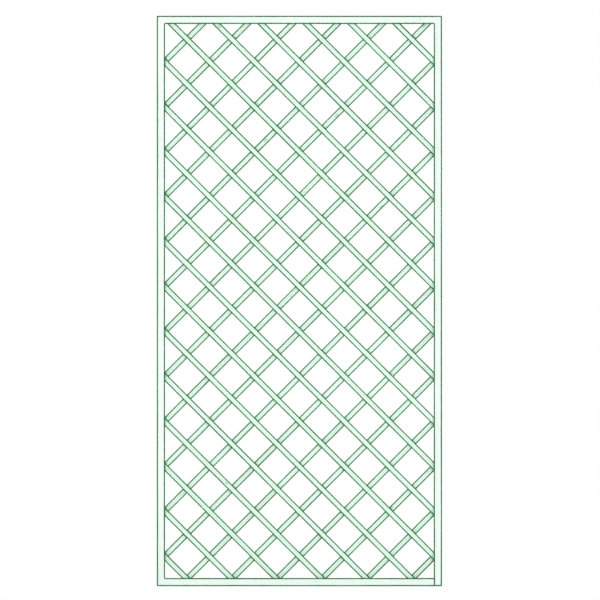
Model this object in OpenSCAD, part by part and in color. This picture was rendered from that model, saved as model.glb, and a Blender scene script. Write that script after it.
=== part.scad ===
// Framed wooden trellis panel for climbing plants.
// Two crossed layers of diagonal slats are stapled together and held by their ends in a
// groove that runs round the inside of a tenoned and screwed frame.
// The panel stands upright with its front towards -Y. The origin is at the middle of its foot.

/* [Panel] */
// Overall width of the panel
panel_w = 900; // [600:1:1200]
// Overall height of the panel
panel_h = 1800; // [900:1:2100]

/* [Frame] */
// Width of a frame member, seen from the front
frame_face = 26; // [20:0.5:30]
// Depth of a frame member from front to back
frame_depth = 40; // [38:0.5:60]
// Width of the chamfer along a frame member's long edges
frame_chamfer = 1.5; // [0.5:0.1:3]
// Depth of the groove that takes the ends of the slats
groove_depth = 10; // [6:0.5:12]
// Play between the lattice and each side of the groove
groove_play = 0.2; // [0.1:0.05:0.5]
// Play between a stub tenon and each side of the groove
tenon_play = 0.1; // [0.05:0.05:0.3]
// Gap between a stub tenon's end and the bottom of the groove
tenon_end_gap = 0.5; // [0.2:0.1:2]

/* [Lattice] */
// Width of a slat
slat_w = 20; // [12:0.5:24]
// Thickness of a slat
slat_t = 8; // [7:0.5:10]
// Width of the bevel that eases a slat's long edges
slat_ease = 0.8; // [0.3:0.1:1.5]
// Number of meshes across the opening
meshes_across = 6; // [4:1:8]
// Number of whole meshes up the opening
meshes_up = 12; // [8:1:15]
// Share of a mesh that is left at the top, where the top rail cuts the lattice
top_row_share = 0.32; // [0.1:0.01:0.4]
// How far the outermost crossings lie behind the inner edge of a stile
crossing_lap = 1.6; // [0:0.1:4]
// Gap between a slat's end and the bottom of the groove
slat_end_gap = 1; // [0.5:0.1:3]

/* [Staples] */
// Outside width of a staple's crown
staple_crown = 10.6; // [6:0.1:12]
// Length of a staple's legs, crown included
staple_length = 14; // [11:0.5:14.5]
// Width of the staple wire
staple_wire_w = 1.25; // [0.8:0.05:1.6]
// Thickness of the staple wire
staple_wire_t = 0.95; // [0.6:0.05:1.2]

/* [Corner screws] */
// Diameter of a screw's shank, and of its thread over the crests
screw_d = 4; // [3:0.1:5]
// Length of a screw
screw_length = 60; // [45:1:80]
// Diameter of a screw's countersunk head
screw_head_d = 8; // [7.8:0.1:9]
// Depth of a screw's head below the face of the stile
screw_sink = 0.5; // [0.2:0.1:1]
// Distance from one thread crest to the next
thread_pitch = 2; // [1.5:0.1:3]
// Depth of the thread
thread_depth = 0.6; // [0.3:0.05:0.9]
// Length of a screw's point
screw_point = 5; // [3:0.5:8]
// Radial play of a screw in its hole
screw_play = 0.1; // [0.05:0.05:0.3]
// Width of the cross recess in a screw's head
recess_w = 1; // [0.6:0.1:1.4]
// Span of the cross recess across a screw's head
recess_span = 4; // [3:0.1:4.4]
// Depth of the cross recess
recess_depth = 1.6; // [1:0.1:1.7]

/* [Hidden] */
$fn = 48;
// How far a cutting shape runs past the face that it cuts
cut_overrun = 1;

// Opening inside the frame
opening_w = panel_w - 2 * frame_face;
opening_h = panel_h - 2 * frame_face;

// Groove round the inside of the frame, and the wood left behind it
lattice_t = 2 * slat_t;
groove_w = lattice_t + 2 * groove_play;
web = frame_face - groove_depth;
tenon_t = groove_w - 2 * tenon_play;
tenon_length = groove_depth - tenon_end_gap;
cheek_t = (frame_depth - groove_w) / 2;

// Field that the slats are cut to: the opening and the part of the groove that they reach
field_reach = groove_depth - slat_end_gap;
field_w = opening_w + 2 * field_reach;
field_h = opening_h + 2 * field_reach;
field_foot = frame_face - field_reach;

// One diamond mesh, corner to corner between the slats' centre lines
mesh_w = (opening_w + 2 * crossing_lap) / meshes_across;
mesh_h = opening_h / (meshes_up + top_row_share);
slat_angle = atan2(mesh_h, mesh_w);

// Slats of one layer, numbered from the foot of the panel, by where they meet its centre line.
// On the centre line, the lowest crossing is this share of a mesh above the foot of the opening.
centre_share = 0.48;
corner_rise = opening_w / 2 * tan(slat_angle) + slat_w / 2 / cos(slat_angle);
first_slat = ceil(-corner_rise / mesh_h - centre_share);
last_slat = floor((opening_h + corner_rise) / mesh_h - centre_share);
slat_count = last_slat - first_slat + 1;
slat_stock = 2 * (panel_w + panel_h);

// A crossing takes a staple where it lies this far inside the frame
staple_margin = slat_w;
staple_set = staple_crown - staple_wire_w;

// Corner screws, two to a corner, each in the middle of a cheek
screw_r = screw_d / 2;
head_r = screw_head_d / 2;
head_h = head_r - screw_r;
thread_start = frame_face + head_h;
thread_count = floor((screw_length - screw_point - thread_start) / thread_pitch);
screw_y = groove_w / 2 + cheek_t / 2;
screw_z = frame_face / 2;

// Layers and sides
front = -1;
rear = 1;
left = -1;
right = 1;

frame_colour = "#b7d3ae";
front_slat_colour = "#c3dcba";
rear_slat_colour = "#abc9a3";
steel_colour = "#b9bec2";

function two_digits(i) = str(i < 10 ? "0" : "", i);
function slat_name(layer, i) = str(layer == front ? "front" : "rear", "_slat_", two_digits(i));

// Height at which slat i of either layer meets the centre line of the panel
function slat_height(i) = frame_face + (first_slat + i - 1 + centre_share) * mesh_h;

// Where front slat i crosses rear slat j, as [x, z]
function crossing(i, j) = [
    (slat_height(i) - slat_height(j)) / 2 / tan(slat_angle),
    (slat_height(i) + slat_height(j)) / 2
];

function is_stapled(at) =
    abs(at[0]) < opening_w / 2 - staple_margin
    && at[1] > frame_face + staple_margin
    && at[1] < panel_h - frame_face - staple_margin;

// Every stapled crossing on slat i of a layer
function crossings_on(layer, i) = [
    for (j = [1 : slat_count])
        let (at = layer == front ? crossing(i, j) : crossing(j, i))
            if (is_stapled(at)) at
];

// Cross-section of a frame member: its outer edge at zero, its groove open towards +X
module member_section() {
    half_d = frame_depth / 2;
    half_g = groove_w / 2;
    polygon([
        [0, frame_chamfer - half_d],
        [frame_chamfer, -half_d],
        [frame_face - frame_chamfer, -half_d],
        [frame_face, frame_chamfer - half_d],
        [frame_face, -half_g],
        [web, -half_g],
        [web, half_g],
        [frame_face, half_g],
        [frame_face, half_d - frame_chamfer],
        [frame_face - frame_chamfer, half_d],
        [frame_chamfer, half_d],
        [0, half_d - frame_chamfer]
    ]);
}

// Outline of a screw from its axis outwards, head at the top, with one ridge for each thread turn
module screw_outline() {
    root_r = screw_r - thread_depth;
    thread_end = thread_start + thread_count * thread_pitch;
    polygon(concat(
        [[0, 0], [head_r, 0], [screw_r, -head_h], [screw_r, -thread_start]],
        [for (turn = [0 : thread_count - 1], half = [0, 1])
            [half == 0 ? root_r : screw_r, -thread_start - (turn + (half + 1) / 2) * thread_pitch]],
        [[root_r, -thread_end - thread_pitch / 2], [0, -screw_length]]
    ));
}

// One countersunk screw with its head at the origin, pointing down
module screw() {
    difference() {
        rotate_extrude() screw_outline();
        for (turn = [0, 90])
            rotate(turn)
                translate([-recess_span / 2, -recess_w / 2, -recess_depth])
                    cube([recess_span, recess_w, recess_depth + cut_overrun]);
    }
}

// The hole for one screw: countersink, clearance in the stile and bore in the rail
module screw_hole() {
    bore_r = screw_r + screw_play;
    mouth_r = head_r + screw_play;
    translate([0, 0, -screw_length - screw_play])
        cylinder(r = bore_r, h = screw_length + screw_play);
    translate([0, 0, -head_h])
        cylinder(r1 = bore_r, r2 = mouth_r, h = head_h);
    cylinder(r = mouth_r, h = screw_sink + cut_overrun);
}

// Puts its children at the two screw places of each corner on one side of the panel
module at_corner_screws(side) {
    for (z = [screw_z, panel_h - screw_z], y = [-screw_y, screw_y])
        translate([side * (panel_w / 2 - screw_sink), y, z])
            rotate([0, side * 90, 0])
                children();
}

module stile(side) {
    color(frame_colour)
        difference() {
            mirror([side == right ? 1 : 0, 0, 0])
                translate([-panel_w / 2, 0, 0])
                    linear_extrude(panel_h) member_section();
            at_corner_screws(side) screw_hole();
        }
}

// The rail at the foot of the panel: a grooved bar between the stiles with a stub tenon at each end
module foot_rail() {
    translate([-opening_w / 2, 0, 0])
        rotate([90, 0, 90])
            linear_extrude(opening_w)
                rotate(90) mirror([0, 1]) member_section();
    tenon_span = opening_w + 2 * tenon_length;
    translate([-tenon_span / 2, -tenon_t / 2, 0])
        cube([tenon_span, tenon_t, web]);
}

module rail(at_top) {
    color(frame_colour)
        difference() {
            translate([0, 0, at_top ? panel_h : 0])
                mirror([0, 0, at_top ? 1 : 0])
                    foot_rail();
            for (side = [left, right])
                at_corner_screws(side) screw_hole();
        }
}

// Cross-section of a slat with eased edges, its thickness on the first axis
module slat_section() {
    half_w = slat_w / 2;
    polygon([
        [0, slat_ease - half_w],
        [slat_ease, -half_w],
        [slat_t - slat_ease, -half_w],
        [slat_t, slat_ease - half_w],
        [slat_t, half_w - slat_ease],
        [slat_t - slat_ease, half_w],
        [slat_ease, half_w],
        [0, half_w - slat_ease]
    ]);
}

// Slat i of a layer before it is stapled, cut to the field inside the frame
module slat_blank(layer, i) {
    intersection() {
        translate([0, layer == front ? -slat_t : 0, slat_height(i)])
            rotate([0, -layer * slat_angle, 0])
                translate([-slat_stock / 2, 0, 0])
                    rotate([90, 0, 90])
                        linear_extrude(slat_stock) slat_section();
        translate([-field_w / 2, -slat_t, field_foot])
            cube([field_w, lattice_t, field_h]);
    }
}

// The two legs of a staple at a crossing, which run this far behind the back of the lattice
module staple_legs(at, behind) {
    leg_depth = staple_length - staple_wire_t;
    for (end = [-1, 1])
        translate([
            at[0] + end * staple_set / 2 - staple_wire_w / 2,
            slat_t - leg_depth,
            at[1] - staple_wire_t / 2
        ])
            cube([staple_wire_w, leg_depth + behind, staple_wire_t]);
}

module staple(at) {
    staple_legs(at, staple_wire_t);
    translate([at[0] - staple_crown / 2, slat_t, at[1] - staple_wire_t / 2])
        cube([staple_crown, staple_wire_t, staple_wire_t]);
}

module slat(layer, i) {
    color(layer == front ? front_slat_colour : rear_slat_colour)
        difference() {
            slat_blank(layer, i);
            for (at = crossings_on(layer, i))
                staple_legs(at, cut_overrun);
        }
}

module crossing_staples() {
    color(steel_colour)
        for (i = [1 : slat_count], at = crossings_on(front, i))
            staple(at);
}

module corner_screws() {
    color(steel_colour)
        for (side = [left, right])
            at_corner_screws(side) screw();
}

stile(left);  // left_stile
stile(right);  // right_stile
rail(true);  // top_rail
rail(false);  // bottom_rail
for (layer = [front, rear], i = [1 : slat_count])
    slat(layer, i);
crossing_staples();
corner_screws();
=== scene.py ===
import math
import random

import bmesh
import bpy
import numpy as np
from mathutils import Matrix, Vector


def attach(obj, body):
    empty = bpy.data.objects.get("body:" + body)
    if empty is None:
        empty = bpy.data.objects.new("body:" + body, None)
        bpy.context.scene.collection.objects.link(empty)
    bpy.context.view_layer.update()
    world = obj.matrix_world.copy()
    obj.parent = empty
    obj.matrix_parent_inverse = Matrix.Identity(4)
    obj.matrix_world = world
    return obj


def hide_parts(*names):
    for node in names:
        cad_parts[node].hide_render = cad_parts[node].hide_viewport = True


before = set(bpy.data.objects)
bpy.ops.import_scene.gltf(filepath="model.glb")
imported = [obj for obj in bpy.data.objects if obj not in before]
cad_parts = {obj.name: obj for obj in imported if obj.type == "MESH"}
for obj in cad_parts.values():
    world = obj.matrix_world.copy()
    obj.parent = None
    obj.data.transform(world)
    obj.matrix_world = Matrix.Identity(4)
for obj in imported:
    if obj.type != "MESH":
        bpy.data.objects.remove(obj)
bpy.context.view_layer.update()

MM = 0.001
BODY = "root"
LEFT = -1
RIGHT = 1

# Panel and frame, with the sizes that the solids have
PANEL_W = 900 * MM
PANEL_H = 1800 * MM
FRAME_FACE = 26 * MM
FRAME_DEPTH = 40 * MM
GROOVE_W = 16.4 * MM
GROOVE_DEPTH = 10 * MM
GROOVE_WEB = FRAME_FACE - GROOVE_DEPTH
OPENING_W = PANEL_W - 2 * FRAME_FACE
OPENING_H = PANEL_H - 2 * FRAME_FACE
TENON_LENGTH = 9.5 * MM
TENON_PLAY = 0.1 * MM

# Lattice
SLAT_W = 20 * MM
SLAT_T = 8 * MM
MESHES_ACROSS = 6
MESHES_UP = 12.32
CROSSING_LAP = 1.6 * MM
MESH_W = (OPENING_W + 2 * CROSSING_LAP) / MESHES_ACROSS
MESH_H = OPENING_H / MESHES_UP
SLAT_ANGLE = math.atan2(MESH_H, MESH_W)
SLATS_PER_LAYER = 18
SLATS_BELOW_FOOT = 3
CENTRE_SHARE = 0.48
SLAT_REACH = 9 * MM
SLAT_STOCK = 2 * (PANEL_W + PANEL_H)
FRONT = -1
REAR = 1

# Staples and screws
STAPLE_CROWN = 10.6 * MM
STAPLE_LENGTH = 14 * MM
STAPLE_WIRE_W = 1.25 * MM
STAPLE_WIRE_T = 0.95 * MM
STAPLE_BEND = 0.75 * MM
STAPLE_MARGIN = SLAT_W
SCREW_BORE_R = 2.1 * MM
SCREW_MOUTH_R = 4.1 * MM
SCREW_SINK = 0.5 * MM
SCREW_Y = 14.1 * MM
SCREW_Z = FRAME_FACE / 2
HOLE_SIDES = 40

# How the wood is eased, knocked and divided
FRAME_ROUND = 1.6 * MM
GROOVE_ROUND = 0.5 * MM
END_ROUND = 0.8 * MM
SLAT_ROUND = 0.9 * MM
ROUND_STEPS = 3
SMALL_ROUND_STEPS = 2
EDGE_HOLD = 5 * MM
ARRIS_DENT = 0.6 * MM
ARRIS_DENT_REACH = 1.2 * MM
ARRIS_DENT_GRAIN = 18 * MM
RING_STEP = 12 * MM
MOST_CUTS = 100
SMOOTH_ANGLE = math.radians(35)

# How closely a place, a direction or a sharp edge has to match when faces and edges are chosen
HAIR = 0.05 * MM
PARALLEL = 0.9999
FACING = 0.9
SHARP_ANGLE = math.radians(60)

# Green of the edges: how far it reaches in over a face, how soft its border is and how far that strays
EDGE_BAND = 4.0 * MM
EDGE_BLUR = 0.6 * MM
EDGE_WANDER = 1.2 * MM

# Where a board was cut from its log: how far along, and how far across and through from the pith
LOG_RUN = 40.0
PITH_ACROSS = 35 * MM
PITH_NEAR = 12 * MM
PITH_FAR = 70 * MM
BOARD_SEED = 41
boards = random.Random(BOARD_SEED)


# Handling pieces

def put_down():
    """Leaves nothing selected."""
    bpy.ops.object.select_all(action="DESELECT")


def pick_up(*pieces):
    """Selects some pieces and nothing else, and makes the first one active."""
    put_down()
    for piece in pieces:
        piece.select_set(True)
    bpy.context.view_layer.objects.active = pieces[0]


def settle(*pieces):
    """Moves the place, turn and scale of some pieces into their meshes."""
    pick_up(*pieces)
    bpy.ops.object.transform_apply(location=True, rotation=True, scale=True)


def edit():
    """Starts work on the mesh of the active piece."""
    bpy.ops.object.mode_set(mode="EDIT")


def leave_edit():
    """Ends work on the mesh of the active piece."""
    bpy.ops.object.mode_set(mode="OBJECT")


def add_block(name, size, middle, turn=(0, 0, 0)):
    """A block of wood or wire at its size and place, to be worked on."""
    put_down()
    bpy.ops.mesh.primitive_cube_add(size=1, location=middle, rotation=turn)
    block = bpy.context.object
    block.name = name
    block.scale = size
    settle(block)
    return block


def saw(point, outward):
    """Cuts the mesh at a plane and drops the side that outward points to."""
    bpy.ops.mesh.select_all(action="SELECT")
    bpy.ops.mesh.bisect(plane_co=point, plane_no=outward, use_fill=True, clear_outer=True)


def score(point, normal):
    """Marks the mesh with a line of edges where a plane meets it, and keeps both sides."""
    bpy.ops.mesh.select_all(action="SELECT")
    bpy.ops.mesh.bisect(plane_co=point, plane_no=normal)


def draw_out(shift):
    """Extrudes what is selected."""
    bpy.ops.mesh.extrude_region_move(TRANSFORM_OT_translate={"value": shift})


def turn_faces_out():
    """Makes all faces of the mesh point outwards."""
    bpy.ops.mesh.select_all(action="SELECT")
    bpy.ops.mesh.normals_make_consistent(inside=False)


def round_over(radius, steps):
    """Rounds the selected edges."""
    bpy.ops.mesh.bevel(offset=radius, segments=steps, affect="EDGES")


def choose_edges(piece, wanted):
    """Selects the edges that pass a test."""
    bpy.ops.mesh.select_mode(type="EDGE")
    bpy.ops.mesh.select_all(action="DESELECT")
    mesh = bmesh.from_edit_mesh(piece.data)
    for edge in mesh.edges:
        edge.select_set(wanted(edge))
    mesh.select_flush_mode()
    bmesh.update_edit_mesh(piece.data)


def choose_faces(piece, wanted):
    """Selects the faces that pass a test."""
    bpy.ops.mesh.select_mode(type="FACE")
    bpy.ops.mesh.select_all(action="DESELECT")
    mesh = bmesh.from_edit_mesh(piece.data)
    for face in mesh.faces:
        face.select_set(wanted(face))
    mesh.select_flush_mode()
    bmesh.update_edit_mesh(piece.data)


def runs_along(axis, at_least=0.0):
    """A test for edges that run along an axis and are long enough."""
    def wanted(edge):
        run = edge.verts[1].co - edge.verts[0].co
        return run.length > at_least and abs(run.normalized().dot(axis)) > PARALLEL
    return wanted


def divide_along(piece, axis, length):
    """Divides the long edges of a bar into short steps."""
    cuts = max(1, min(MOST_CUTS, round(length / RING_STEP)))
    choose_edges(piece, runs_along(axis, at_least=length / 2))
    bpy.ops.mesh.subdivide(number_cuts=cuts)


# Wood grain and edge wear, kept on each piece's own points

def points_of(piece):
    """The points of a piece's mesh, one in each row."""
    points = np.empty(len(piece.data.vertices) * 3)
    piece.data.vertices.foreach_get("co", points)
    return points.reshape(-1, 3)


def place_in(piece, origin, axes):
    """Where each point of a board lies along the board's own axes."""
    return (points_of(piece) - np.array(origin)) @ np.array([list(axis) for axis in axes]).T


def write_grain(piece, origin, axes):
    """Gives each point its place in the log: along, across and through the board from the pith."""
    pith = (
        boards.uniform(0, LOG_RUN),
        boards.uniform(-PITH_ACROSS, PITH_ACROSS),
        boards.choice((-1, 1)) * boards.uniform(PITH_NEAR, PITH_FAR),
    )
    place = place_in(piece, origin, axes)
    grain = piece.data.attributes.new("grain", "FLOAT_VECTOR", "POINT")
    grain.data.foreach_set("vector", (place + np.array(pith)).ravel().astype(np.float32))
    tone = piece.data.attributes.new("board_tone", "FLOAT", "POINT")
    tone.data.foreach_set("value", np.full(len(place), boards.random(), np.float32))


def write_arris(piece, distance):
    """Gives each point its distance from the nearest long edge of the board."""
    arris = piece.data.attributes.new("arris", "FLOAT", "POINT")
    arris.data.foreach_set("value", distance.astype(np.float32))


arris_dents = bpy.data.textures.new("arris_dents", type="CLOUDS")
arris_dents.noise_scale = ARRIS_DENT_GRAIN
arris_dents.noise_depth = 2


def knock_arrises(piece, on_arris):
    """Dents the edges of a board a little, inwards only."""
    group = piece.vertex_groups.new(name="arris")
    group.add(np.flatnonzero(on_arris).tolist(), 1.0, "REPLACE")
    pick_up(piece)
    dents = piece.modifiers.new("dents", "DISPLACE")
    dents.texture = arris_dents
    dents.texture_coords = "LOCAL"
    dents.vertex_group = "arris"
    dents.mid_level = 1.0
    dents.strength = ARRIS_DENT
    bpy.ops.object.modifier_apply(modifier="dents")
    piece.vertex_groups.clear()


def finish_piece(piece, node, finish):
    """Smooths a piece, gives it its finish and puts it in the place of its solid."""
    pick_up(piece)
    bpy.ops.object.shade_smooth_by_angle(angle=SMOOTH_ANGLE)
    piece.data.materials.clear()
    piece.data.materials.append(finish)
    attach(piece, BODY)
    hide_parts(node)


# Finishes

def srgb(red, green, blue):
    """A colour given in 0 to 255, as linear values by the standard screen curve."""
    def linear(level):
        share = level / 255
        return share / 12.92 if share <= 0.04045 else ((share + 0.055) / 1.055) ** 2.4
    return (linear(red), linear(green), linear(blue), 1.0)


class Bench:
    """Lays out the nodes of one material, or of the studio's world."""

    def __init__(self, owner):
        self.owner = owner
        self.owner.use_nodes = True
        self.tree = owner.node_tree
        self.tree.nodes.clear()

    def node(self, kind, inputs, **settings):
        """A node with its settings, and its inputs set to values or linked to other nodes' outputs."""
        made = self.tree.nodes.new(kind)
        for setting, value in settings.items():
            setattr(made, setting, value)
        for socket, value in inputs.items():
            if isinstance(value, bpy.types.NodeSocket):
                self.tree.links.new(value, made.inputs[socket])
            else:
                made.inputs[socket].default_value = value
        return made

    def read(self, name, output):
        """One of the piece's own attributes."""
        return self.node("ShaderNodeAttribute", {}, attribute_name=name).outputs[output]

    def place(self):
        """The place of each point in the piece's own frame."""
        return self.node("ShaderNodeTexCoord", {}).outputs["Object"]

    def work(self, operation, first, second=0.0):
        """A sum with one or two values."""
        return self.node("ShaderNodeMath", {0: first, 1: second}, operation=operation).outputs[0]

    def scaled(self, value, by):
        """A value times another."""
        return self.work("MULTIPLY", value, by)

    def most(self, *values):
        """The largest of some values."""
        largest = values[0]
        for value in values[1:]:
            largest = self.work("MAXIMUM", largest, value)
        return largest

    def total(self, *values):
        """All the values added up."""
        added = values[0]
        for value in values[1:]:
            added = self.work("ADD", added, value)
        return added

    def rest_of(self, share):
        """What a share leaves of the whole."""
        return self.work("SUBTRACT", 1.0, share)

    def stretch(self, vector, by):
        """A vector with each of its three values multiplied."""
        return self.node("ShaderNodeVectorMath", {0: vector, 1: by}, operation="MULTIPLY").outputs[0]

    def length(self, vector):
        """How long a vector is."""
        return self.node("ShaderNodeVectorMath", {0: vector}, operation="LENGTH").outputs["Value"]

    def in_cells(self, vector, size):
        """A place counted in cells of a size, which is given along each axis."""
        return self.stretch(vector, tuple(1 / side for side in size))

    def noise(self, vector, size, detail=2.0, roughness=0.5):
        """A cloudy pattern whose marks have a size."""
        inputs = {"Vector": self.in_cells(vector, size), "Scale": 1.0}
        inputs.update({"Detail": detail, "Roughness": roughness})
        return self.node("ShaderNodeTexNoise", inputs).outputs["Fac"]

    def between(self, value, low, high, start=0.0, end=1.0):
        """Goes smoothly from start to end while a value goes from low to high."""
        inputs = {"Value": value, "From Min": low, "From Max": high, "To Min": start, "To Max": end}
        return self.node("ShaderNodeMapRange", inputs, interpolation_type="SMOOTHSTEP").outputs[0]

    def blend(self, share, first, second):
        """Mixes two colours, which are inputs 6 and 7 of the node."""
        inputs = {"Factor": share, 6: first, 7: second}
        return self.node("ShaderNodeMix", inputs, data_type="RGBA").outputs[2]

    def relief(self, height, distance, strength):
        """Small bumps from a pattern of heights."""
        inputs = {"Height": height, "Distance": distance, "Strength": strength}
        return self.node("ShaderNodeBump", inputs).outputs[0]

    def mix(self, share, first, second):
        """Mixes two shaders."""
        return self.node("ShaderNodeMixShader", {0: share, 1: first.outputs[0], 2: second.outputs[0]})

    def output(self, shader, kind="ShaderNodeOutputMaterial"):
        """Ends the layout in a shader, and gives back what it belongs to."""
        self.node(kind, {"Surface": shader.outputs[0]})
        return self.owner


def finish_bench(name):
    """A bench for a new finish."""
    return Bench(bpy.data.materials.new(name))


# Marks in the wood and the paint, each with its size along, across and through the grain
KNOT_CELL = (33 * MM, 19 * MM, 55 * MM)
RING_DRIFT_RUN = (385 * MM, 62 * MM, 62 * MM)
FIBRE = (22 * MM, 0.77 * MM, 0.77 * MM)
BRUSH_MARK = (200 * MM, 2.4 * MM, 2.4 * MM)
BLOTCH = (167 * MM, 42 * MM, 42 * MM)
PAINT_CHIP = (7.7 * MM, 2.4 * MM, 2.4 * MM)
SCUFF = (62 * MM, 3.3 * MM, 3.3 * MM)

# Knots: how many cells hold one, and its rim and its swirl as shares of a cell
KNOT_SHARE = 0.034
KNOT_RIM_SHARE = 0.2
KNOT_RIM_W_SHARE = 0.05
KNOT_SWIRL_SHARE = 0.55

# Growth rings: how far they drift and swell, and where the late wood lies in a ring
RING_DRIFT = 9 * MM
RING_SWELL = 7 * MM
LATE_START = 0.35
LATE_FULL = 0.86
LATE_END = 0.9

# Paint gone over late wood, at knots and in scuffs, and how much of that shows on slats and on the frame
LATE_THIN_LEAST = 0.05
LATE_THIN_MOST = 0.32
RIM_THIN = 0.6
CORE_THIN = 0.3
SCUFF_THIN = 0.7
SLAT_COAT_THIN = 1.0
FRAME_COAT_THIN = 0.5

# Levels of the patterns: their middle, and the two levels between which each effect comes in
PATTERN_MIDDLE = 0.5
FIBRE_BARED = (0.35, 0.75)
FIBRE_SOAKED = (0.38, 0.62)
SCUFF_BARED = (0.68, 0.76)
SCUFF_RUBBED = (0.48, 0.6)
BLOTCH_RUBBED = (0.42, 0.58)
BRUSH_SHADED = (0.3, 0.7)

# Strengths: how far rubbing pales the stain, a knot browns it, and brush and board shade the paint
RUBBED_MOST = 0.8
KNOT_TINT = 0.6
BRUSH_SHADE = 0.45
BOARD_SHADE = 0.4

# Gloss of bare and painted wood
BARE_ROUGH = 0.78
PAINT_ROUGH = 0.56
FIBRE_ROUGH = 0.12
WOOD_SPECULAR = 0.12

# Relief: its full height, and the share of it that each mark takes
WOOD_RELIEF = 0.25 * MM
WOOD_RELIEF_STRENGTH = 0.55
LATE_RISE = 0.45
FIBRE_RISE = 0.35
BRUSH_RISE = 0.3
PAINT_RISE = 0.6
RIM_RISE = -0.5


def knots(bench, grain):
    """A few small knots: their cores, the rims round these, and the swirl of the grain round both."""
    cells = bench.node("ShaderNodeTexVoronoi", {"Vector": bench.in_cells(grain, KNOT_CELL), "Scale": 1.0})
    chance = bench.node("ShaderNodeSeparateColor", {0: cells.outputs["Color"]}).outputs[0]
    is_knot = bench.work("GREATER_THAN", chance, 1 - KNOT_SHARE)
    distance = cells.outputs["Distance"]
    from_rim = bench.work("ABSOLUTE", bench.work("SUBTRACT", distance, KNOT_RIM_SHARE))
    core = bench.between(distance, KNOT_RIM_SHARE - KNOT_RIM_W_SHARE, KNOT_RIM_SHARE, 1.0, 0.0)
    rim = bench.between(from_rim, 0.0, KNOT_RIM_W_SHARE, 1.0, 0.0)
    swirl = bench.between(distance, KNOT_RIM_SHARE / 2, KNOT_SWIRL_SHARE, 1.0, 0.0)
    return [bench.scaled(mark, is_knot) for mark in (core, rim, swirl)]


def late_wood(bench, grain, swirl, ring_gap):
    """The dense part of each growth ring. The rings drift along the board and swell round the knots."""
    from_pith = bench.length(bench.stretch(grain, (0.0, 1.0, 1.0)))
    drift = bench.scaled(bench.noise(grain, RING_DRIFT_RUN), RING_DRIFT)
    radius = bench.total(from_pith, drift, bench.scaled(swirl, RING_SWELL))
    ring = bench.work("FRACT", bench.work("DIVIDE", radius, ring_gap))
    rise = bench.between(ring, LATE_START, LATE_FULL)
    fall = bench.between(ring, LATE_END, 1.0, 1.0, 0.0)
    return bench.scaled(rise, fall)


def painted_timber(name, mint, mint_shade, ring_gap, coat_thin):
    """Thin mint paint over green stain on softwood, worn through along the edges and over the grain."""
    bench = finish_bench(name)
    grain = bench.read("grain", "Vector")
    arris = bench.read("arris", "Fac")
    tone = bench.read("board_tone", "Fac")
    core, rim, swirl = knots(bench, grain)
    late = late_wood(bench, grain, swirl, ring_gap)
    fibre = bench.noise(grain, FIBRE, detail=3.0, roughness=0.6)
    brush = bench.noise(grain, BRUSH_MARK)
    blotch = bench.noise(grain, BLOTCH, detail=3.0)
    chip = bench.noise(grain, PAINT_CHIP, detail=4.0, roughness=0.7)
    scuff = bench.noise(grain, SCUFF, detail=3.0, roughness=0.6)

    # Paint cover: worn off at the edges, scuffed here and there, thin over the late wood and the knots
    wander = bench.scaled(bench.total(chip, blotch, -2 * PATTERN_MIDDLE), EDGE_WANDER)
    from_edge = bench.total(arris, wander)
    cover = bench.between(from_edge, EDGE_BAND - EDGE_BLUR / 2, EDGE_BAND + EDGE_BLUR / 2)
    thin = bench.most(
        bench.scaled(late, bench.between(fibre, *FIBRE_BARED, LATE_THIN_LEAST, LATE_THIN_MOST)),
        bench.scaled(rim, RIM_THIN),
        bench.scaled(core, CORE_THIN),
        bench.between(scuff, *SCUFF_BARED, 0.0, SCUFF_THIN),
    )
    cover = bench.scaled(cover, bench.rest_of(bench.scaled(thin, coat_thin)))

    # Colour: the stain sinks in less over the late wood, and is rubbed paler in places
    soaked = bench.scaled(bench.between(fibre, *FIBRE_SOAKED), bench.rest_of(late))
    rubbed_patch = bench.between(blotch, *BLOTCH_RUBBED, 0.0, RUBBED_MOST)
    rubbed = bench.scaled(bench.between(scuff, *SCUFF_RUBBED), rubbed_patch)
    stain = bench.blend(soaked, STAIN_GREEN, STAIN_DEEP)
    stain = bench.blend(rubbed, stain, STAIN_PALE)
    stain = bench.blend(bench.scaled(bench.most(core, rim), KNOT_TINT), stain, KNOT_BROWN)
    brush_shade = bench.between(brush, *BRUSH_SHADED, 0.0, BRUSH_SHADE)
    shade = bench.total(brush_shade, bench.scaled(tone, BOARD_SHADE))
    paint = bench.blend(shade, mint, mint_shade)
    colour = bench.blend(cover, stain, paint)

    # Gloss and relief: paint is smoother than bare wood, and stands on it
    coat_rough = bench.between(cover, 0.0, 1.0, BARE_ROUGH, PAINT_ROUGH)
    roughness = bench.total(coat_rough, bench.scaled(fibre, FIBRE_ROUGH))
    height = bench.total(
        bench.scaled(late, LATE_RISE),
        bench.scaled(fibre, FIBRE_RISE),
        bench.scaled(brush, BRUSH_RISE),
        bench.scaled(cover, PAINT_RISE),
        bench.scaled(rim, RIM_RISE),
    )
    relief = bench.relief(height, WOOD_RELIEF, WOOD_RELIEF_STRENGTH)
    coat = bench.node("ShaderNodeBsdfPrincipled", {
        "Base Color": colour, "Roughness": roughness, "Normal": relief, "Specular IOR Level": WOOD_SPECULAR,
    })
    return bench.output(coat)


# Zinc: the size of its spangle and of its tarnish, the levels between which they come in, and its relief
SPANGLE = (1.1 * MM, 1.1 * MM, 1.1 * MM)
TARNISH = (4.2 * MM, 4.2 * MM, 4.2 * MM)
SPANGLE_DULLED = (0.3, 0.7)
TARNISH_DULLED = (0.35, 0.7)
ZINC_RELIEF = 0.05 * MM
ZINC_RELIEF_STRENGTH = 0.3


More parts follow.
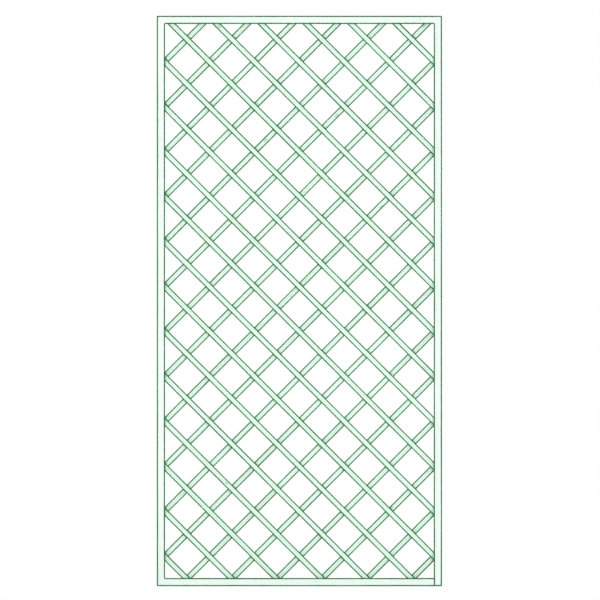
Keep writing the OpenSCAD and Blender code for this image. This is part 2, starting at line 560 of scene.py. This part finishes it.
def zinc_plate(name, bright, dull, smooth, rough):
    """Zinc on steel: a mottled grey with fine spangle."""
    bench = finish_bench(name)
    place = bench.place()
    spangle = bench.noise(place, SPANGLE)
    tarnish = bench.noise(place, TARNISH, detail=3.0)
    colour = bench.blend(bench.between(tarnish, *TARNISH_DULLED), bright, dull)
    roughness = bench.between(spangle, *SPANGLE_DULLED, smooth, rough)
    relief = bench.relief(spangle, ZINC_RELIEF, ZINC_RELIEF_STRENGTH)
    metal = bench.node("ShaderNodeBsdfPrincipled", {
        "Base Color": colour, "Roughness": roughness, "Normal": relief, "Metallic": 1.0,
    })
    return bench.output(metal)


SLAT_MINT = srgb(236, 254, 241)
SLAT_MINT_SHADE = srgb(219, 247, 228)
FRAME_MINT = srgb(245, 252, 247)
FRAME_MINT_SHADE = srgb(239, 250, 243)
STAIN_GREEN = srgb(0, 132, 66)
STAIN_DEEP = srgb(0, 98, 47)
STAIN_PALE = srgb(30, 150, 90)
KNOT_BROWN = srgb(78, 88, 52)
SLAT_RING_GAP = 3.1 * MM
FRAME_RING_GAP = 3.8 * MM

slat_finish = painted_timber(
    "worn_mint_slats", SLAT_MINT, SLAT_MINT_SHADE, SLAT_RING_GAP, SLAT_COAT_THIN
)
frame_finish = painted_timber(
    "worn_mint_frame", FRAME_MINT, FRAME_MINT_SHADE, FRAME_RING_GAP, FRAME_COAT_THIN
)
staple_finish = zinc_plate(
    "galvanised_staples", bright=srgb(190, 196, 200), dull=srgb(140, 146, 150), smooth=0.35, rough=0.6
)
screw_finish = zinc_plate(
    "zinc_screws", bright=srgb(205, 204, 196), dull=srgb(160, 158, 148), smooth=0.25, rough=0.45
)


# Frame

UP = Vector((0, 0, 1))


def model_frame_bar(name, length):
    """A grooved bar up +Z from the origin: outer edge at X zero, groove open towards +X."""
    put_down()
    bpy.ops.mesh.primitive_plane_add(size=1, location=(FRAME_FACE / 2, 0, 0))
    bar = bpy.context.object
    bar.name = name
    bar.scale = (FRAME_FACE, FRAME_DEPTH, 1)
    settle(bar)
    edit()
    for side in (-1, 1):
        score((0, side * GROOVE_W / 2, 0), (0, 1, 0))
    score((GROOVE_WEB, 0, 0), (1, 0, 0))

    def in_groove(face):
        middle = face.calc_center_median()
        return middle.x > GROOVE_WEB and abs(middle.y) < GROOVE_W / 2
    choose_faces(bar, in_groove)
    bpy.ops.mesh.delete(type="FACE")
    bpy.ops.mesh.select_all(action="SELECT")
    draw_out((0, 0, length))
    turn_faces_out()
    leave_edit()
    return bar


def ease_bar(bar, length, stops):
    """Rounds the long edges of a bar, the inner ones between their stops, and the lips of its groove."""
    along_bar = runs_along(UP)
    first_stop, last_stop = stops

    def at_face(edge):
        return FRAME_DEPTH / 2 - abs(edge.verts[0].co.y) < HAIR

    def is_outer(edge):
        return along_bar(edge) and at_face(edge) and edge.verts[0].co.x < HAIR

    def is_inner(edge):
        middle = (edge.verts[0].co.z + edge.verts[1].co.z) / 2
        on_corner = at_face(edge) and FRAME_FACE - edge.verts[0].co.x < HAIR
        return along_bar(edge) and on_corner and first_stop < middle < last_stop

    def is_lip(edge):
        x, y, _ = edge.verts[0].co
        return along_bar(edge) and FRAME_FACE - x < HAIR and abs(abs(y) - GROOVE_W / 2) < HAIR

    edit()
    for stop in stops:
        if 0 < stop < length:
            score((0, 0, stop), UP)
    choose_edges(bar, lambda edge: is_outer(edge) or is_inner(edge))
    round_over(FRAME_ROUND, ROUND_STEPS)
    choose_edges(bar, is_lip)
    round_over(GROOVE_ROUND, SMALL_ROUND_STEPS)
    leave_edit()


def ease_ends(bar, length):
    """Rounds the edges round both sawn ends of a bar."""
    def is_end(edge):
        heights = [v.co.z for v in edge.verts]
        at_end = max(heights) < HAIR or length - min(heights) < HAIR
        return at_end and edge.calc_face_angle(0.0) > SHARP_ANGLE
    edit()
    choose_edges(bar, is_end)
    round_over(END_ROUND, SMALL_ROUND_STEPS)
    leave_edit()


def add_tenons(bar, length):
    """Draws a stub tenon out of the middle of each end of a rail."""
    edit()
    for end, outward in ((0.0, -1), (length, 1)):
        def is_root(face):
            middle = face.calc_center_median()
            in_web = middle.x < GROOVE_WEB and abs(middle.y) < GROOVE_W / 2
            return in_web and abs(middle.z - end) < HAIR and abs(face.normal.z) > FACING
        choose_faces(bar, is_root)
        bpy.ops.mesh.inset(thickness=TENON_PLAY)
        draw_out((0, 0, outward * TENON_LENGTH))
    leave_edit()


def divide_bar(bar, length, rings):
    """Marks a bar a little way in from its edges and at some rings, then in short steps along it."""
    edit()
    for side in (-1, 1):
        score((0, side * (FRAME_DEPTH / 2 - EDGE_HOLD), 0), (0, 1, 0))
    for x in (EDGE_HOLD, FRAME_FACE - EDGE_HOLD):
        score((x, 0, 0), (1, 0, 0))
    for ring in rings:
        score((0, 0, ring), UP)
    divide_along(bar, UP, length)
    leave_edit()


def bar_arris(place, stops):
    """Distance from the nearest edge, for places along a bar, in from its outer edge and through it."""
    along, outer, through = place.T
    inner = FRAME_FACE - outer
    past_stop = np.maximum(np.maximum(stops[0] - along, along - stops[1]), 0)
    face = FRAME_DEPTH / 2 - np.abs(through)
    distance = np.maximum(np.minimum(outer, np.hypot(inner, past_stop)), face)
    lip = np.maximum(np.abs(through) - GROOVE_W / 2, 0)
    return np.where(inner < GROOVE_ROUND, np.minimum(distance, lip), distance)


def in_groove_or_tenon(place, length):
    """Which points of a bar lie in its groove or on its tenons, where no paint reaches."""
    along, outer, through = place.T
    in_groove = (outer > GROOVE_WEB - HAIR) & (np.abs(through) < GROOVE_W / 2 + HAIR)
    return in_groove | (along < -HAIR) | (along > length + HAIR)


def model_hole_plug(mouth, inward):
    """A turned plug of the shape that one screw hole takes out of a stile."""
    put_down()
    quarter_turn = (0, math.pi / 2, 0)
    bpy.ops.mesh.primitive_cylinder_add(
        vertices=HOLE_SIDES, radius=SCREW_MOUTH_R, depth=2 * SCREW_SINK,
        location=mouth, rotation=quarter_turn,
    )
    plug = bpy.context.object
    settle(plug)
    sunk = mouth.x + inward * SCREW_SINK
    cone = inward * (SCREW_MOUTH_R - SCREW_BORE_R)
    narrow = SCREW_BORE_R / SCREW_MOUTH_R
    edit()
    choose_faces(plug, lambda face: abs(face.calc_center_median().x - sunk) < HAIR)
    draw_out((cone, 0, 0))
    bpy.ops.transform.resize(value=(1, narrow, narrow), center_override=(sunk + cone, mouth.y, mouth.z))
    draw_out((inward * FRAME_FACE, 0, 0))
    turn_faces_out()
    leave_edit()
    return plug


def bore_for_screws(stile, side):
    """Countersinks the two screw holes near each end of a stile."""
    plugs = []
    for z in (SCREW_Z, PANEL_H - SCREW_Z):
        for y in (-SCREW_Y, SCREW_Y):
            plugs.append(model_hole_plug(Vector((side * PANEL_W / 2, y, z)), -side))
    pick_up(*plugs)
    bpy.ops.object.join()
    pick_up(stile)
    holes = stile.modifiers.new("holes", "BOOLEAN")
    holes.operation = "DIFFERENCE"
    holes.solver = "EXACT"
    holes.object = plugs[0]
    bpy.ops.object.modifier_apply(modifier="holes")
    bpy.data.objects.remove(plugs[0])


def set_bar(bar, location, turn):
    """Puts a finished bar in its place in the frame."""
    bar.location = location
    bar.rotation_euler = turn
    settle(bar)


def model_stile(side):
    """A stile. Paint bridges its joints with the rails, apart from the one at the foot on the right."""
    node = "left_stile" if side == LEFT else "right_stile"
    first_stop = FRAME_FACE if side == LEFT else 0.0
    stops = (first_stop, PANEL_H - FRAME_FACE)
    rings = (EDGE_HOLD, FRAME_FACE - EDGE_HOLD, FRAME_FACE)
    stile = model_frame_bar(f"{node}_timber", PANEL_H)
    ease_bar(stile, PANEL_H, stops)
    ease_ends(stile, PANEL_H)
    divide_bar(stile, PANEL_H, rings + tuple(PANEL_H - ring for ring in rings))
    foot = (side * PANEL_W / 2, 0, 0)
    set_bar(stile, foot, (0, 0, 0 if side == LEFT else math.pi))
    axes = (UP, Vector((-side, 0, 0)), Vector((0, 1, 0)))

    def wear():
        place = place_in(stile, foot, axes)
        from_end = np.maximum(np.minimum(place[:, 0], PANEL_H - place[:, 0]), 0)
        return np.minimum(bar_arris(place, stops), from_end), in_groove_or_tenon(place, PANEL_H)
    distance, hidden = wear()
    knock_arrises(stile, (distance < ARRIS_DENT_REACH) & ~hidden)
    bore_for_screws(stile, side)
    write_grain(stile, foot, axes)
    distance, hidden = wear()
    write_arris(stile, np.where(hidden, 0.0, distance))
    finish_piece(stile, node, frame_finish)


def model_rail(at_top):
    """A rail between the stiles, with a stub tenon in the groove of each."""
    node = "top_rail" if at_top else "bottom_rail"
    rail = model_frame_bar(f"{node}_timber", OPENING_W)
    stops = (0.0, OPENING_W)
    ease_bar(rail, OPENING_W, stops)
    add_tenons(rail, OPENING_W)
    divide_bar(rail, OPENING_W, ())
    run = 1 if at_top else -1
    end = (-run * OPENING_W / 2, 0, PANEL_H if at_top else 0)
    set_bar(rail, end, (0, run * math.pi / 2, 0))
    axes = (Vector((run, 0, 0)), Vector((0, 0, -run)), Vector((0, 1, 0)))
    place = place_in(rail, end, axes)
    distance = bar_arris(place, stops)
    hidden = in_groove_or_tenon(place, OPENING_W)
    knock_arrises(rail, (distance < ARRIS_DENT_REACH) & ~hidden)
    write_grain(rail, end, axes)
    write_arris(rail, np.where(hidden, 0.0, distance))
    finish_piece(rail, node, frame_finish)


# Lattice

# The edges of the field that the slats are cut to, each a point and the way out
FIELD_SIDE = OPENING_W / 2 + SLAT_REACH
FIELD_FOOT = FRAME_FACE - SLAT_REACH
FIELD_HEAD = PANEL_H - FRAME_FACE + SLAT_REACH
FIELD_EDGES = (
    ((-FIELD_SIDE, 0, 0), (-1, 0, 0)),
    ((FIELD_SIDE, 0, 0), (1, 0, 0)),
    ((0, 0, FIELD_FOOT), (0, 0, -1)),
    ((0, 0, FIELD_HEAD), (0, 0, 1)),
)


def slat_height(number):
    """Height at which a slat of either layer meets the middle of the panel."""
    return FRAME_FACE + (number - 1 - SLATS_BELOW_FOOT + CENTRE_SHARE) * MESH_H


def model_slat(layer, number):
    """A slat, sawn off at the edges of the field, with its long edges eased and knocked."""
    node = f"{'front' if layer == FRONT else 'rear'}_slat_{number:02d}"
    along = Vector((math.cos(SLAT_ANGLE), 0, layer * math.sin(SLAT_ANGLE)))
    across = Vector((-layer * math.sin(SLAT_ANGLE), 0, math.cos(SLAT_ANGLE)))
    axes = (along, across, Vector((0, 1, 0)))
    middle = Vector((0, layer * SLAT_T / 2, slat_height(number)))
    slat = add_block(f"{node}_timber", (SLAT_STOCK, SLAT_T, SLAT_W), middle, (0, -layer * SLAT_ANGLE, 0))
    edit()
    for point, outward in FIELD_EDGES:
        saw(point, outward)
    choose_edges(slat, runs_along(along))
    round_over(SLAT_ROUND, ROUND_STEPS)
    for side in (-1, 1):
        score(middle + across * side * (SLAT_W / 2 - EDGE_HOLD), across)
    leave_edit()
    reach = place_in(slat, middle, axes)[:, 0]
    edit()
    divide_along(slat, along, reach.max() - reach.min())
    leave_edit()

    def from_edges():
        _, over, through = place_in(slat, middle, axes).T
        return SLAT_W / 2 - np.abs(over), SLAT_T / 2 - np.abs(through)
    from_side, from_face = from_edges()
    knock_arrises(slat, np.maximum(from_side, from_face) < ARRIS_DENT_REACH)
    write_grain(slat, middle, axes)
    from_side, _ = from_edges()
    write_arris(slat, from_side)
    finish_piece(slat, node, slat_finish)


# Staples and screws

def crossings():
    """Where a front slat crosses a rear one clear of the frame."""
    places = []
    for front in range(1, SLATS_PER_LAYER + 1):
        for rear in range(1, SLATS_PER_LAYER + 1):
            x = (slat_height(front) - slat_height(rear)) / 2 / math.tan(SLAT_ANGLE)
            z = (slat_height(front) + slat_height(rear)) / 2
            inside_x = abs(x) < OPENING_W / 2 - STAPLE_MARGIN
            inside_z = FRAME_FACE + STAPLE_MARGIN < z < PANEL_H - FRAME_FACE - STAPLE_MARGIN
            if inside_x and inside_z:
                places.append((x, 0, z))
    return places


def model_staple():
    """One staple at the origin, its crown on the back of the lattice and its legs towards the front."""
    crown_back = SLAT_T + STAPLE_WIRE_T
    crown_middle = SLAT_T + STAPLE_WIRE_T / 2
    staple = add_block("staple", (STAPLE_CROWN, STAPLE_WIRE_T, STAPLE_WIRE_T), (0, crown_middle, 0))
    leg_x = STAPLE_CROWN / 2 - STAPLE_WIRE_W
    edit()
    for side in (-1, 1):
        score((side * leg_x, 0, 0), (1, 0, 0))
    choose_faces(staple, lambda face: face.normal.y < -FACING and abs(face.calc_center_median().x) > leg_x)
    draw_out((0, STAPLE_WIRE_T - STAPLE_LENGTH, 0))

    def is_shoulder(edge):
        at_end = all(STAPLE_CROWN / 2 - abs(v.co.x) < HAIR for v in edge.verts)
        return at_end and all(crown_back - v.co.y < HAIR for v in edge.verts)
    choose_edges(staple, is_shoulder)
    round_over(STAPLE_BEND, ROUND_STEPS)
    leave_edit()
    return staple


def model_crossing_staples():
    """A staple at each crossing, all in one piece."""
    staple = model_staple()
    staple.name = "crossing_staples_wire"
    places = crossings()
    staples = [staple]
    for _ in places[1:]:
        copy = staple.copy()
        copy.data = staple.data.copy()
        bpy.context.scene.collection.objects.link(copy)
        staples.append(copy)
    for copy, place in zip(staples, places):
        copy.location = place
    settle(*staples)
    bpy.ops.object.join()
    finish_piece(staple, "crossing_staples", staple_finish)


def plate_corner_screws():
    """The screws keep their solid and get its zinc finish."""
    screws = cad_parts["corner_screws"]
    for plating in screws.material_slots:
        plating.material = screw_finish


for side in (LEFT, RIGHT):
    model_stile(side)
for at_top in (False, True):
    model_rail(at_top)
for layer in (FRONT, REAR):
    for number in range(1, SLATS_PER_LAYER + 1):
        model_slat(layer, number)
model_crossing_staples()
plate_corner_screws()


# Studio

FLOOR_SIZE = 40.0
FLOOR_NEAR = 0.8
FLOOR_FAR = 3.2
FLOOR_PALE = (0.94, 0.94, 0.94, 1.0)
WHITE = (1.0, 1.0, 1.0, 1.0)
WORLD_LIGHT = 0.5


def is_seen(bench):
    """One for what the camera sees, straight or by way of something shiny or clear, and zero for light."""
    rays = bench.node("ShaderNodeLightPath", {}).outputs
    return bench.most(rays["Is Camera Ray"], rays["Is Glossy Ray"], rays["Is Transmission Ray"])


def studio_floor():
    """A pale floor that takes the shadow, runs out to white and is open from below."""
    put_down()
    bpy.ops.mesh.primitive_plane_add(size=FLOOR_SIZE, location=(0, 0, 0))
    floor = bpy.context.object
    floor.name = "studio_floor"
    bench = finish_bench("pale_floor")
    pale = bench.node("ShaderNodeBsdfDiffuse", {"Color": FLOOR_PALE})
    white = bench.node("ShaderNodeEmission", {"Color": WHITE, "Strength": 1.0})
    clear = bench.node("ShaderNodeBsdfTransparent", {})
    fade = bench.scaled(bench.between(bench.length(bench.place()), FLOOR_NEAR, FLOOR_FAR), is_seen(bench))
    below = bench.node("ShaderNodeNewGeometry", {}).outputs["Backfacing"]
    floor.data.materials.append(bench.output(bench.mix(below, bench.mix(fade, pale, white), clear)))


def studio_world():
    """White for what the camera and shiny metal see, and an even grey for the light."""
    world = bpy.data.worlds.new("studio_world")
    bpy.context.scene.world = world
    bench = Bench(world)
    even = bench.node("ShaderNodeBackground", {"Color": WHITE, "Strength": WORLD_LIGHT})
    white = bench.node("ShaderNodeBackground", {"Color": WHITE, "Strength": 1.0})
    bench.output(bench.mix(is_seen(bench), even, white), "ShaderNodeOutputWorld")


def soft_lamp(name, place, size, power):
    """A square soft lamp, aimed at the middle of the panel."""
    lamp = bpy.data.lights.new(name, "AREA")
    lamp.size = size
    lamp.energy = power
    holder = bpy.data.objects.new(name, lamp)
    bpy.context.scene.collection.objects.link(holder)
    holder.location = place
    aim = Vector((0, 0, PANEL_H / 2)) - Vector(place)
    holder.rotation_euler = aim.to_track_quat("-Z", "Y").to_euler()


# The frame's outer lines in the picture, in pixels: the middle of the green on the outer edges meets them
PICTURE_SIDE = 600
PICTURE_LEFT = 157.4
PICTURE_RIGHT = 441.4
PICTURE_TOP = 16.4
PICTURE_FOOT = 585.6
CAMERA_BACK = 4.0


def front_camera():
    """A camera straight in front that sees the panel where the picture has it."""
    drawn = PANEL_W - EDGE_BAND + PANEL_H - EDGE_BAND
    pixel = drawn / (PICTURE_RIGHT - PICTURE_LEFT + PICTURE_FOOT - PICTURE_TOP)
    right = (PICTURE_SIDE - PICTURE_LEFT - PICTURE_RIGHT) / 2 * pixel
    up = PANEL_H / 2 + (PICTURE_TOP + PICTURE_FOOT - PICTURE_SIDE) / 2 * pixel
    lens = bpy.data.cameras.new("front_camera")
    lens.type = "ORTHO"
    lens.ortho_scale = PICTURE_SIDE * pixel
    camera = bpy.data.objects.new("front_camera", lens)
    bpy.context.scene.collection.objects.link(camera)
    camera.location = (right, -CAMERA_BACK, up)
    camera.rotation_euler = (math.pi / 2, 0, 0)
    bpy.context.scene.camera = camera


studio_floor()
studio_world()
soft_lamp("key_lamp", place=(-2.9, -8.0, 1.0), size=1.9, power=217)
soft_lamp("fill_lamp", place=(3.8, -7.6, 0.8), size=1.5, power=141)
soft_lamp("back_lamp", place=(3.0, 6.4, 4.6), size=4.4, power=310)
front_camera()
bpy.context.scene.view_settings.view_transform = "Standard"
